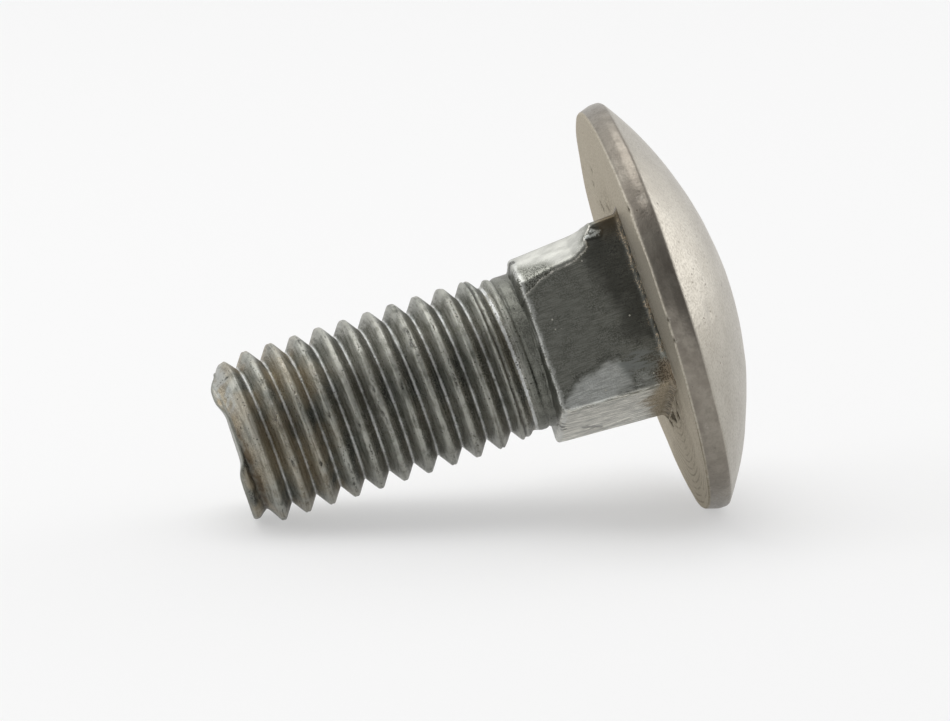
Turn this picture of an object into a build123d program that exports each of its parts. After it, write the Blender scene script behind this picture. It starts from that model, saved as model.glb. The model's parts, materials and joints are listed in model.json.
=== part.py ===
from build123d import *
import math
import os

# A round-head square-neck bolt: one piece of steel, headed from wire and thread-rolled.
# Lengths are in millimetres and angles in degrees. The bolt is modelled along +Z with
# the flat under its head at zero, its head above and its tail below, and is then laid
# down as it rests on a table, on the edge of its head and on one crest of its thread.
# While it is modelled, +X is the side that will lie underneath.

# Head, upset a little off the shank's axis
HEAD_DIAMETER = 29.0
UNDERSIDE_DIAMETER = 28.4
RIM_FLARE_HEIGHT = 0.95
RIM_HEIGHT = 1.55
DOME_HEIGHT = 4.65
HEAD_OFFSET = 0.2

# Square neck, drafted so that it is widest at the head
NECK_LENGTH = 7.9
NECK_WIDTH_AT_HEAD = 12.4
NECK_WIDTH_AT_SHANK = 11.75
NECK_CORNER_BREAK = 0.2
NECK_EDGE_BREAK = 0.25
NECK_FLARE = 0.45
NECK_TURN = -23.8

# One corner of the neck is worn flat, down to a step short of the head
WORN_LEG_AT_SHANK = 2.45
WORN_LEG_MIDWAY = 2.1
WORN_MIDWAY_FROM_HEAD = 3.6
WORN_END_FROM_HEAD = 2.0

# Shank and thread
BOLT_LENGTH = 29.55
SHANK_DIAMETER = 10.9
THREAD_DIAMETER = 11.8
THREAD_PITCH = 1.75
THREAD_DEPTH = 1.07
CREST_WIDTH = 0.3
THREAD_END_FROM_HEAD = 9.0
RUNOUT_LENGTH = 2.5
CUT_OVERRUN = 0.1
FLOOR_CREST_FROM_TAIL = 1.93

# Tail, tapered in two steps by the rolling and pinched to a shallow trough by the cropping
TAIL_FACE_DIAMETER = 9.6
TAIL_SHOULDER_DIAMETER = 11.0
TAIL_CHAMFER_LENGTH = 0.5
TAIL_TAPER_LENGTH = 0.9
TROUGH_WIDTH = 6.4
TROUGH_DEPTH = 0.75
TROUGH_TURN = -14.6


def turned(outline):
    """A solid of revolution about the bolt's axis, from (radius, height) points."""
    return revolve(make_face(Plane.XZ * Polyline(*outline, close=True)), Axis.Z)


def head():
    """Low head: flat underneath, a rim that flares to full width, and a dome cut by a sphere."""
    rim_radius = HEAD_DIAMETER / 2
    blank_top = RIM_HEIGHT + 2 * DOME_HEIGHT
    blank = turned([
        (0, 0),
        (UNDERSIDE_DIAMETER / 2, 0),
        (rim_radius, RIM_FLARE_HEIGHT),
        (rim_radius, blank_top),
        (0, blank_top),
    ])
    dome_radius = (rim_radius**2 + DOME_HEIGHT**2) / (2 * DOME_HEIGHT)
    dome_centre = RIM_HEIGHT + DOME_HEIGHT - dome_radius
    domed = blank & Pos(0, 0, dome_centre) * Rot(90, 0, 0) * Sphere(dome_radius)
    return Pos(-HEAD_OFFSET, 0, 0) * domed


def neck_section(from_head, width, worn_leg):
    """A square with one worn corner, at a distance below the flat of the head."""
    diagonal = Axis((0, 0, 0), (1, 1, 0))
    square = Rectangle(width, width)
    square = chamfer(square.vertices().sort_by(diagonal)[:1], worn_leg)
    square = chamfer(square.vertices().sort_by(diagonal)[2:], NECK_CORNER_BREAK)
    return Pos(0, 0, -from_head) * Rot(0, 0, NECK_TURN) * square


def neck():
    """The square under the head, from inside the head down to its broken lower edge."""

    def width_at(from_head):
        taper = (NECK_WIDTH_AT_HEAD - NECK_WIDTH_AT_SHANK) / NECK_LENGTH
        return NECK_WIDTH_AT_HEAD - taper * from_head

    break_start = NECK_LENGTH - NECK_EDGE_BREAK
    end_width = width_at(break_start) - 2 * NECK_EDGE_BREAK
    end_worn_leg = WORN_LEG_AT_SHANK - NECK_EDGE_BREAK
    flared_width = NECK_WIDTH_AT_HEAD + 2 * NECK_FLARE
    sections = [
        neck_section(NECK_LENGTH, end_width, end_worn_leg),
        neck_section(break_start, width_at(break_start), WORN_LEG_AT_SHANK),
        neck_section(WORN_MIDWAY_FROM_HEAD, width_at(WORN_MIDWAY_FROM_HEAD), WORN_LEG_MIDWAY),
        neck_section(WORN_END_FROM_HEAD, width_at(WORN_END_FROM_HEAD), NECK_CORNER_BREAK),
        neck_section(NECK_FLARE, width_at(NECK_FLARE), NECK_CORNER_BREAK),
        neck_section(0, flared_width, NECK_CORNER_BREAK),
        neck_section(-RIM_HEIGHT / 2, flared_width, NECK_CORNER_BREAK),
    ]
    return loft(sections, ruled=True)


def screw(start, turns, corners):
    """A right-hand screw whose skin is ruled, turn by turn, between helices.

    corners are (radius, rise) points over one pitch, root to root. A ramp and a
    wall close each end, from the bolt's axis out to the skin.
    """

    def helix(corner, turn):
        radius, rise = corner
        base = start + turn * THREAD_PITCH + rise
        return Edge.make_helix(THREAD_PITCH, THREAD_PITCH, radius, center=(0, 0, base))

    def end_faces(turn):
        base = start + turn * THREAD_PITCH
        axis = Edge.make_line((0, 0, base), (0, 0, base + THREAD_PITCH))
        ramp = Face.make_surface_from_curves(axis, helix(corners[0], turn))
        profile = [(radius, 0, base + rise) for radius, rise in corners]
        wall = Face(Wire.make_polygon([axis @ 0, *profile, axis @ 1]))
        return [ramp, wall]

    strips = [
        Face.make_surface_from_curves(helix(lower, turn), helix(upper, turn))
        for turn in range(turns)
        for lower, upper in zip(corners, corners[1:])
    ]
    return Solid(Shell(strips + end_faces(0) + end_faces(turns)))


def threaded_shank():
    """The screw, cut to a tapered tail and a falling crest, on a core that fills its run-out."""
    crest_radius = THREAD_DIAMETER / 2
    root_radius = crest_radius - THREAD_DEPTH
    shank_radius = SHANK_DIAMETER / 2
    crest_start = (THREAD_PITCH - CREST_WIDTH) / 2
    corners = [
        (root_radius, 0),
        (crest_radius, crest_start),
        (crest_radius, crest_start + CREST_WIDTH),
        (root_radius, THREAD_PITCH),
    ]
    floor_crest = -BOLT_LENGTH + FLOOR_CREST_FROM_TAIL
    turns_below = math.ceil(FLOOR_CREST_FROM_TAIL / THREAD_PITCH) + 1
    start = floor_crest - turns_below * THREAD_PITCH - crest_start - CREST_WIDTH / 2
    turns = math.ceil((-THREAD_END_FROM_HEAD - start) / THREAD_PITCH)

    tail_face = TAIL_FACE_DIAMETER / 2
    tail_shoulder = TAIL_SHOULDER_DIAMETER / 2
    shoulder_height = -BOLT_LENGTH + TAIL_CHAMFER_LENGTH
    runout_start = -THREAD_END_FROM_HEAD - RUNOUT_LENGTH
    envelope = turned([
        (0, -BOLT_LENGTH),
        (tail_face, -BOLT_LENGTH),
        (tail_shoulder, shoulder_height),
        (crest_radius + CUT_OVERRUN, shoulder_height + TAIL_TAPER_LENGTH),
        (crest_radius + CUT_OVERRUN, runout_start),
        (shank_radius - CUT_OVERRUN, -THREAD_END_FROM_HEAD),
        (0, -THREAD_END_FROM_HEAD),
    ])
    core = turned([
        (0, runout_start),
        (root_radius - CUT_OVERRUN, runout_start),
        (shank_radius, -THREAD_END_FROM_HEAD),
        (shank_radius, -NECK_LENGTH / 2),
        (0, -NECK_LENGTH / 2),
    ])
    trough_radius = (TROUGH_WIDTH**2 / 4 + TROUGH_DEPTH**2) / (2 * TROUGH_DEPTH)
    trough_axis = -BOLT_LENGTH + TROUGH_DEPTH - trough_radius
    trough = Cylinder(trough_radius, 2 * THREAD_DIAMETER)
    trough = Rot(0, 0, TROUGH_TURN) * Pos(0, 0, trough_axis) * Rot(90, 0, 0) * trough
    return (screw(start, turns, corners) & envelope) + core - trough


def resting_lean():
    """The angle of the axis to the table, from the steepest line from the crest to the rim."""
    crest_below_head = BOLT_LENGTH - FLOOR_CREST_FROM_TAIL + CREST_WIDTH / 2
    rim_corners = [(UNDERSIDE_DIAMETER, 0), (HEAD_DIAMETER, RIM_FLARE_HEIGHT)]
    leans = [
        math.atan2((diameter - THREAD_DIAMETER) / 2 - HEAD_OFFSET, crest_below_head + rise)
        for diameter, rise in rim_corners
    ]
    return math.degrees(max(leans))


def laid_down(solid):
    """The bolt lying with its head towards +X, its box standing centred on the origin."""
    leaning = Rot(0, 90 - resting_lean(), 0) * solid
    box = leaning.bounding_box()
    middle = box.center()
    return Pos(-middle.X, -middle.Y, -box.min.Z) * leaning


os.makedirs("parts", exist_ok=True)
bolt = head() + neck() + threaded_shank()
export_step(laid_down(bolt), "parts/bolt.step")
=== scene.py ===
import json
import math

import bpy
import numpy as np
from mathutils import Matrix, Vector, noise


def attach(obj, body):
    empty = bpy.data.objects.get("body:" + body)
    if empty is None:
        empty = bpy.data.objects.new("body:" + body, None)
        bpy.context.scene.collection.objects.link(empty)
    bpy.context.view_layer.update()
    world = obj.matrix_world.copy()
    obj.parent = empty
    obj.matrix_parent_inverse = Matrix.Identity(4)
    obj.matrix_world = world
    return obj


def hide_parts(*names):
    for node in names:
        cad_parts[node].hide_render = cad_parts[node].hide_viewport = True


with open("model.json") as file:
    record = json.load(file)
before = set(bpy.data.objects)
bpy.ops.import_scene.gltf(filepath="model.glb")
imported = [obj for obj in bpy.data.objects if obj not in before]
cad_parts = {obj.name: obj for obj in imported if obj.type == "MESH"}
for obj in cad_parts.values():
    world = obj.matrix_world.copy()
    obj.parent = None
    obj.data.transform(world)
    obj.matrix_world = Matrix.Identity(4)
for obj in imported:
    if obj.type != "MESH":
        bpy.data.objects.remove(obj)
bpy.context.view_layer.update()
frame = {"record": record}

# The bolt is drawn in millimetres in its own frame: +Z along its axis to the head, zero at
# the flat under the head, +X towards the table and +Y away from the camera. Angles go
# round the axis from +X. MM turns lengths into metres when the mesh is placed.
MM = 0.001
TAU = 2 * math.pi
QUARTER = TAU / 4
FAR = 1e3

# Head, and the small steps that round its rim: shares of the rounding, a lift and a turn
HEAD_DIAMETER = 29.0
UNDERSIDE_DIAMETER = 28.4
RIM_FLARE_HEIGHT = 0.95
RIM_HEIGHT = 1.55
DOME_HEIGHT = 4.65
HEAD_OFFSET = 0.2
RIM_ROUNDING = 0.12
LOW_EDGE_SHARE = 0.4
LOW_EDGE_LIFT = 0.02
FLARE_TOP_SHARE = 0.1
RIM_TOP_SHARE = 0.15
RIM_TOP_DROP_SHARE = 0.5
DOME_EDGE_TURN = 0.004

# Square neck, with one worn corner whose legs are (distance from the head, leg) points
NECK_LENGTH = 7.9
NECK_WIDTH_AT_HEAD = 12.4
NECK_WIDTH_AT_SHANK = 11.75
NECK_CORNER_BREAK = 0.2
NECK_EDGE_BREAK = 0.3
SHOULDER_SLOPE = 0.15
NECK_FLARE = 0.4
NECK_ROUNDING = 0.06
WORN_ROUNDING = 0.25
NECK_TURN = math.radians(-23.8)
WORN_QUARTER = 2
WORN_LEGS = [
    (0.0, 0.2), (1.9, 0.2), (2.5, 0.9), (3.1, 1.5), (3.8, 1.85), (4.8, 1.95), (7.65, 2.25),
    (7.9, 2.0),
]
LEAST_LEAN = 0.05

# Shank and thread
BOLT_LENGTH = 29.55
SHANK_RADIUS = 5.45
THREAD_DIAMETER = 11.8
THREAD_PITCH = 1.75
THREAD_DEPTH = 1.07
CREST_WIDTH = 0.3
CREST_ROUNDING = 0.07
ROOT_ROUNDING = 0.1
THREAD_END_FROM_HEAD = 9.0
RUNOUT_LENGTH = 2.5
CUT_OVERRUN = 0.1
FLOOR_CREST_FROM_TAIL = 1.93
FLANK_RUN = (THREAD_PITCH - CREST_WIDTH) / 2
FLOOR_CREST = -BOLT_LENGTH + FLOOR_CREST_FROM_TAIL
RUNOUT = [-THREAD_END_FROM_HEAD - RUNOUT_LENGTH, -THREAD_END_FROM_HEAD]

# Tail: how far its top and its underside reach from the axis, as (distance from the head,
# radius) points, the sinking of its last thread, and the trough that cropping left across
# its slanted end
TAIL_TOP = [
    (27.4, 6.4), (28.2, 5.8), (28.45, 5.65), (28.75, 5.56), (28.9, 5.4), (29.05, 5.17),
    (29.2, 4.92), (29.35, 4.75), (29.5, 4.6), (29.65, 4.35), (29.8, 3.95), (29.95, 3.4),
]
TAIL_UNDERSIDE = [
    (27.4, 6.4), (28.2, 6.0), (28.7, 5.6), (29.05, 5.28), (29.5, 5.26), (29.65, 5.12),
    (29.8, 4.8), (29.95, 4.3),
]
TAIL_ROUNDING = 0.1
TAIL_EDGE_ROUNDING = 0.2
TAIL_SHIFT = 0.3
TAIL_SHIFT_SPAN = (28.4, 29.4)
TAIL_SINK = 0.12
TAIL_SINK_SPAN = (27.7, 28.4)
TAIL_TOP_ANGLE = math.radians(165.6)
TAIL_END_FROM_HEAD = 29.72
TAIL_LEAN = 0.014
TAIL_SLANT = 0.07
LIP_START = 3.8
LIP_FALL = 0.5
DEEPEST_LIP = 0.5
TROUGH_BANKS = (-1.65, 2.6)
TROUGH_DEPTH = 0.45
TROUGH_SLANT = 0.025
BANK_SOFTNESS = 0.22
END_FACE_START = 0.02

# How finely each stretch is divided
THREAD_COLUMNS = 200
NECK_COLUMNS = 240
HEAD_COLUMNS = 184
SEAM_ANGLE = QUARTER
END_SHARES = [0.12, 0.25, 0.38, 0.5, 0.61, 0.71, 0.8, 0.87, 0.92, 0.95, 0.975, 0.99, 1.0]
EDGE_SEARCH_ROUNDS = 24
EDGE_SEARCH_STEP = 1 / 3
TAIL_ROWS = 22
HELIX_TURNS = 10
HALF_PITCH_SHARES = [0.0, 0.03, 0.065, 0.11, 0.17, 0.24, 0.31, 0.365, 0.4, 0.43, 0.465, 0.5]
SHANK_ROWS = 6
SHOULDER_SHARES = [0.3, 0.6, 0.85, 1.0]
EDGE_BREAK_SHARES = [0.25, 0.5, 0.75]
NECK_ROWS = 78
FLARE_SHARES = [0.25, 0.5, 0.75, 0.9, 1.0]
APRON_ROWS = 14
UNDERSIDE_ROWS = 16
RIM_FLARE_SHARES = [0.35, 0.7, 0.9]
RIM_SHARES = [0.3, 0.7]
DOME_ROWS = 42

# The neck's columns crowd at its corners and on the face that is seen
COLUMN_TRIALS = 7200
CORNER_CROWDING = 5.0
CORNER_REACH = math.radians(2.5)
SEEN_FACE_CROWDING = 1.2
SEEN_FACE_REACH = math.radians(52)
SEEN_FACE = NECK_TURN + 3 * QUARTER


def smooth_max(a, b, rounding):
    """The larger of two values, with the corner between them rounded."""
    return (a + b + np.sqrt((a - b) ** 2 + rounding**2)) / 2


def smooth_min(a, b, rounding):
    """The smaller of two values, with the corner between them rounded."""
    return -smooth_max(-a, -b, rounding)


def ramp(value, limits):
    """Rises smoothly from 0 to 1 between two limits."""
    low, high = limits
    share = np.clip((value - low) / (high - low), 0, 1)
    return share * share * (3 - 2 * share)


def bell(value, width):
    """1 at zero, falling away on both sides."""
    return np.exp(-((value / width) ** 2))


def even_shares(count):
    """Even steps up to 1, without 0."""
    return np.linspace(0, 1, count + 1)[1:]


def turn_between(angle, other):
    """The turn from one angle to another, at most half way round."""
    return (other - angle + TAU / 2) % TAU - TAU / 2


def polar(radius, angle, height):
    """Points round the axis, from arrays of radii, angles and heights."""
    radius, angle, height = np.broadcast_arrays(radius, angle, height)
    return np.stack([radius * np.cos(angle), radius * np.sin(angle), height], axis=-1)


def columns_round(count):
    """Even angles round the axis, from the seam."""
    return SEAM_ANGLE + TAU * np.arange(count) / count


class Skin:
    """Rings of points in the bolt's frame, and the faces woven between them."""

    def __init__(self):
        self.points = []
        self.faces = []
        self.finishes = []
        self.finish = None

    def add(self, points):
        first = len(self.points)
        self.points.extend(np.asarray(points, float).reshape(-1, 3))
        return list(range(first, len(self.points)))

    def face(self, corners):
        self.faces.append(corners)
        self.finishes.append(self.finish)

    def strip(self, lower, upper):
        """Quads between two open rows with as many points."""
        for i in range(len(lower) - 1):
            self.face((lower[i], lower[i + 1], upper[i + 1], upper[i]))

    def rows(self, ring, rows):
        """Weaves closed rows of points onto a ring, one after another, and gives the last."""
        for row in rows:
            above = self.add(row)
            self.strip(ring + ring[:1], above + above[:1])
            ring = above
        return ring

    def stitch(self, lower, upper):
        """Triangles between two closed rings of different sizes, matched by angle."""

        def by_angle(ring):
            turns = sorted((math.atan2(*self.points[k][1::-1]) % TAU, k) for k in ring)
            return turns + [(turns[0][0] + TAU, turns[0][1])]

        low, high = by_angle(lower), by_angle(upper)
        i = j = 0
        while i < len(lower) or j < len(upper):
            a, b = low[i][1], high[j][1]
            if j == len(upper) or (i < len(lower) and low[i + 1][0] <= high[j + 1][0]):
                i += 1
                self.face((a, low[i][1], b))
            else:
                j += 1
                self.face((a, high[j][1], b))

    def fan(self, ring, tip):
        """Triangles from a ring to one point."""
        point = self.add([tip])[0]
        for i in range(len(ring)):
            self.face((ring[i - 1], ring[i], point))


HEAD_FINISH, NECK_FINISH, THREAD_FINISH = range(3)


def across_tail(x, y):
    """Distances from the axis, up and towards the camera, of points on the tail's end."""
    near = TAIL_TOP_ANGLE + QUARTER
    up = x * math.cos(TAIL_TOP_ANGLE) + y * math.sin(TAIL_TOP_ANGLE)
    return up, x * math.cos(near) + y * math.sin(near)


def envelope_radius(angle, height):
    """How far the tail's taper and the run-out let the thread's crest reach."""
    crest = THREAD_DIAMETER / 2 + CUT_OVERRUN
    falling = np.interp(height, RUNOUT, [crest, SHANK_RADIUS - CUT_OVERRUN])
    top, underside = (np.interp(-height, *zip(*taper)) for taper in (TAIL_TOP, TAIL_UNDERSIDE))
    upward = (1 + np.cos(angle - TAIL_TOP_ANGLE)) / 2
    return np.where(-height > TAIL_TOP[0][0], underside + (top - underside) * upward, falling)


def core_radius(height):
    """The plain shank, which comes up out of the thread's roots along the run-out."""
    root = THREAD_DIAMETER / 2 - THREAD_DEPTH - CUT_OVERRUN
    return np.interp(height, RUNOUT, [root, SHANK_RADIUS])


def helix_place(angle, height):
    """The distance towards the head from the nearest crest's middle, and the way along that crest."""
    drawn_out = TAIL_SHIFT * ramp(-height, TAIL_SHIFT_SPAN)
    turn = (height + drawn_out - FLOOR_CREST) / THREAD_PITCH - angle / TAU
    nearest = np.round(turn)
    return (turn - nearest) * THREAD_PITCH, (nearest + angle / TAU) * math.pi * THREAD_DIAMETER


def down_flank(angle, height):
    """How far a point lies from the edge of the nearest crest, in runs of a flank."""
    return (np.abs(helix_place(angle, height)[0]) - CREST_WIDTH / 2) / FLANK_RUN


def shank_radius(angle, height):
    """The outside of the threaded length and the plain shank."""
    drop = down_flank(angle, height) * THREAD_DEPTH
    drop = smooth_max(drop, 0, CREST_ROUNDING) - CREST_ROUNDING / 2
    drop = smooth_min(drop, THREAD_DEPTH, ROOT_ROUNDING)
    thread = THREAD_DIAMETER / 2 - drop - TAIL_SINK * ramp(-height, TAIL_SINK_SPAN)
    thread = smooth_min(thread, envelope_radius(angle, height), TAIL_ROUNDING)
    return smooth_max(thread, core_radius(height), CREST_ROUNDING)


def tail_height(x, y):
    """The tail's slanted end, with a trough between two soft banks."""
    up, near = across_tail(x, y)
    past_low, past_high = (1 / (1 + np.exp((bank - up) / BANK_SOFTNESS)) for bank in TROUGH_BANKS)
    trough = (TROUGH_DEPTH + TROUGH_SLANT * near) * (past_low - past_high)
    lip = np.minimum(LIP_FALL * np.maximum(up - LIP_START, 0) ** 2, DEEPEST_LIP)
    return trough + lip - (TAIL_END_FROM_HEAD + TAIL_LEAN * up + TAIL_SLANT * near)


def end_face(points):
    """1 on the tail's cropped end, 0 elsewhere."""
    above = points[:, 2] - tail_height(points[:, 0], points[:, 1])
    return 1 - ramp(above, (END_FACE_START, TAIL_EDGE_ROUNDING))


def tail_end(skin, angles):
    """The tail's end, from its middle to its rounded edge, and how high that edge lies."""
    edge_height = np.full(len(angles), -BOLT_LENGTH)
    for _ in range(EDGE_SEARCH_ROUNDS):
        edge_radius = shank_radius(angles, edge_height)
        reached = tail_height(edge_radius * np.cos(angles), edge_radius * np.sin(angles))
        edge_height += (reached - edge_height) * EDGE_SEARCH_STEP
    edge_height += TAIL_EDGE_ROUNDING
    edge_radius = shank_radius(angles, edge_height)
    rows = []
    for share in END_SHARES:
        row = polar(edge_radius * share, angles, 0.0)
        off_edge = edge_radius * (1 - share) / TAIL_EDGE_ROUNDING
        turned_in = 1 - np.sqrt(1 - np.clip(1 - off_edge, 0, 1) ** 2)
        row[:, 2] = tail_height(row[:, 0], row[:, 1]) + TAIL_EDGE_ROUNDING * turned_in
        rows.append(row)
    ring = skin.add(rows[0])
    skin.fan(ring[::-1], (0, 0, float(tail_height(0.0, 0.0))))
    return skin.rows(ring, rows[1:]), edge_height


def tail_and_thread(skin):
    """The tail's end, the thread on rows that follow its helix, and the plain shank."""
    skin.finish = THREAD_FINISH
    angles = columns_round(THREAD_COLUMNS)
    half = np.array(HALF_PITCH_SHARES)
    shares = np.concatenate([half, 1 - half[-2::-1]])
    steps = len(shares) - 1
    start = FLOOR_CREST + THREAD_PITCH * (SEAM_ANGLE / TAU - 1 / 2)
    end = start + HELIX_TURNS * THREAD_PITCH
    top = end + THREAD_PITCH
    bottom = -NECK_LENGTH - SHOULDER_SLOPE
    rise = THREAD_PITCH * np.arange(THREAD_COLUMNS) / THREAD_COLUMNS

    def row(height):
        return polar(shank_radius(angles, height), angles, height)

    ring, edge_height = tail_end(skin, angles)
    rows = [row(edge_height + (start - edge_height) * share) for share in even_shares(TAIL_ROWS)]
    circle = skin.rows(ring, rows)
    seam = circle[:1]
    helix = [seam + skin.add(row(start + rise)[1:])]
    for index in range(1, HELIX_TURNS * steps + 1):
        turn, step = divmod(index, steps)
        helix.append(skin.add(row(start + (turn + shares[step]) * THREAD_PITCH + rise)))

    # Rows that fan out from one point of the circle to the first turn of the helix
    lower = circle
    lower_end = seam
    for step in range(1, steps + 1):
        upper = helix[0] if step == steps else seam + skin.add(row(start + rise * shares[step])[1:])
        upper_end = helix[step][:1]
        skin.face((seam[0], lower[1], upper[1]))
        skin.strip(lower[1:] + lower_end, upper[1:] + upper_end)
        lower, lower_end = upper, upper_end

    # Rows that close from the last turn of the helix to a circle
    closing = [skin.add(row(end + rise + (top - end - rise) * share)) for share in shares[1:]]
    for lower, upper in zip(helix[-1:] + closing, closing):
        skin.strip(lower, upper)
        skin.face((lower[-1], closing[-1][0], upper[-1]))

    # After one turn, each row of the helix runs on into the first point of a row above it
    starts = [line[:1] for line in helix + closing]
    turns = [line + run_on for line, run_on in zip(helix, starts[steps:])]
    for lower, upper in zip(turns, turns[1:]):
        skin.strip(lower, upper)

    heights = top + (bottom - top) * even_shares(SHANK_ROWS)
    return skin.rows(closing[-1], [row(np.full(THREAD_COLUMNS, height)) for height in heights])


def neck_half_width(from_head):
    taper = (NECK_WIDTH_AT_HEAD - NECK_WIDTH_AT_SHANK) / NECK_LENGTH
    return (NECK_WIDTH_AT_HEAD - taper * from_head) / 2


def neck_radius(angle, half_width, worn_leg):
    """A square with small corner breaks and one worn corner, as a radius at each angle."""

    def side(distance, facing):
        lean = np.cos(angle - facing)
        return np.where(lean > LEAST_LEAN, distance / np.maximum(lean, LEAST_LEAN), FAR)

    radius = np.full_like(angle, FAR)
    for quarter in range(4):
        facing = NECK_TURN + quarter * QUARTER
        leg = worn_leg if quarter == WORN_QUARTER else NECK_CORNER_BREAK
        corner = (2 * half_width - leg) / math.sqrt(2)
        radius = smooth_min(radius, side(half_width, facing), NECK_ROUNDING)
        rounding = NECK_ROUNDING + WORN_ROUNDING * (leg - NECK_CORNER_BREAK)
        radius = smooth_min(radius, side(corner, facing + QUARTER / 2), rounding)
    return radius


def neck_columns():
    """Angles for the neck, closer together at its corners and on the face that is seen."""
    trials = np.linspace(0, TAU, COLUMN_TRIALS, endpoint=False)
    crowding = 1 + SEEN_FACE_CROWDING * (np.abs(turn_between(SEEN_FACE, trials)) < SEEN_FACE_REACH)
    for quarter in range(4):
        corner = NECK_TURN + (quarter + 1 / 2) * QUARTER
        crowding += CORNER_CROWDING * bell(turn_between(corner, trials), CORNER_REACH)
    total = np.cumsum(crowding)
    return np.interp(np.arange(NECK_COLUMNS) / NECK_COLUMNS * total[-1], total, trials)


def neck(skin, ring):
    """The shoulder, the drafted square and its flare into the head."""
    skin.finish = NECK_FINISH
    angles = neck_columns()

    def outline(from_head, shrink):
        worn_leg = np.interp(from_head, *zip(*WORN_LEGS))
        return neck_radius(angles, neck_half_width(from_head) - shrink, worn_leg)

    inner = skin.add(polar(SHANK_RADIUS + SHOULDER_SLOPE / 4, angles, -NECK_LENGTH - SHOULDER_SLOPE))
    skin.stitch(ring, inner)
    end = outline(NECK_LENGTH, NECK_EDGE_BREAK)
    rows = []
    for share in SHOULDER_SHARES:
        reach = SHANK_RADIUS + (end - SHANK_RADIUS) * share
        rows.append(polar(reach, angles, -NECK_LENGTH - SHOULDER_SLOPE * (1 - share)))
    cuts = []
    for turn in QUARTER * np.array(EDGE_BREAK_SHARES):
        from_head = NECK_LENGTH - NECK_EDGE_BREAK * (1 - math.cos(turn))
        cuts.append((from_head, NECK_EDGE_BREAK * (1 - math.sin(turn))))
    cuts += [(place, 0) for place in np.linspace(NECK_LENGTH - NECK_EDGE_BREAK, NECK_FLARE, NECK_ROWS)]
    cuts += [(NECK_FLARE * (1 - share), -NECK_FLARE * share**2) for share in FLARE_SHARES]
    rows += [polar(outline(from_head, shrink), angles, -from_head) for from_head, shrink in cuts]
    return skin.rows(inner, rows)


def head(skin, ring):
    """The flat underside, the flared rim and the dome."""
    skin.finish = HEAD_FINISH
    angles = columns_round(HEAD_COLUMNS)

    def circle(radius, height):
        return polar(radius, angles, height) - (HEAD_OFFSET, 0, 0)

    apron_reach = neck_half_width(0) * math.sqrt(2) + 2 * NECK_FLARE
    flare_edge = np.array([skin.points[index] for index in ring])
    growth = apron_reach / np.hypot(flare_edge[:, 0], flare_edge[:, 1]) - 1
    apron = [flare_edge * (1 + growth * share)[:, None] for share in even_shares(APRON_ROWS)]
    ring = skin.rows(ring, apron)
    inner_reach = apron_reach + 2 * HEAD_OFFSET
    inner = skin.add(circle(inner_reach, 0.0))
    skin.stitch(ring, inner)

    edge = UNDERSIDE_DIAMETER / 2
    rim = HEAD_DIAMETER / 2
    flat = edge - RIM_ROUNDING - inner_reach
    flare = (rim - edge) / RIM_FLARE_HEIGHT
    rows = [circle(inner_reach + flat * share, 0.0) for share in even_shares(UNDERSIDE_ROWS)]
    rows.append(circle(edge - RIM_ROUNDING * LOW_EDGE_SHARE, LOW_EDGE_LIFT))
    for height in [RIM_ROUNDING] + [RIM_FLARE_HEIGHT * share for share in RIM_FLARE_SHARES]:
        rows.append(circle(edge + flare * height, height))
    rows.append(circle(rim - RIM_ROUNDING * FLARE_TOP_SHARE, RIM_FLARE_HEIGHT))
    for share in RIM_SHARES:
        rows.append(circle(rim, RIM_FLARE_HEIGHT + (RIM_HEIGHT - RIM_FLARE_HEIGHT) * share))
    rim_top = RIM_HEIGHT - RIM_ROUNDING * RIM_TOP_DROP_SHARE
    rows.append(circle(rim - RIM_ROUNDING * RIM_TOP_SHARE, rim_top))

    dome = (rim**2 + DOME_HEIGHT**2) / (2 * DOME_HEIGHT)
    centre = RIM_HEIGHT + DOME_HEIGHT - dome
    turns = math.asin(rim / dome) * even_shares(DOME_ROWS)[::-1]
    turns[0] -= DOME_EDGE_TURN
    rows += [circle(dome * math.sin(turn), centre + dome * math.cos(turn)) for turn in turns]
    last = skin.rows(inner, rows)
    skin.fan(last, (-HEAD_OFFSET, 0, centre + dome))


def bolt_frame():
    """The bolt's own frame, from the flat face that the record gives under its head."""
    face = next(m for m in frame["record"]["mounts"] if m["name"] == "bearing_face")
    to_head = -Vector(face["axis"]).normalized()
    down = Vector((0, 0, -1))
    down = (down - to_head * down.dot(to_head)).normalized()
    away = to_head.cross(down)
    turn = Matrix((down, away, to_head)).transposed()
    return Matrix.Translation(face["pos_m"]) @ turn.to_4x4()


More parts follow.
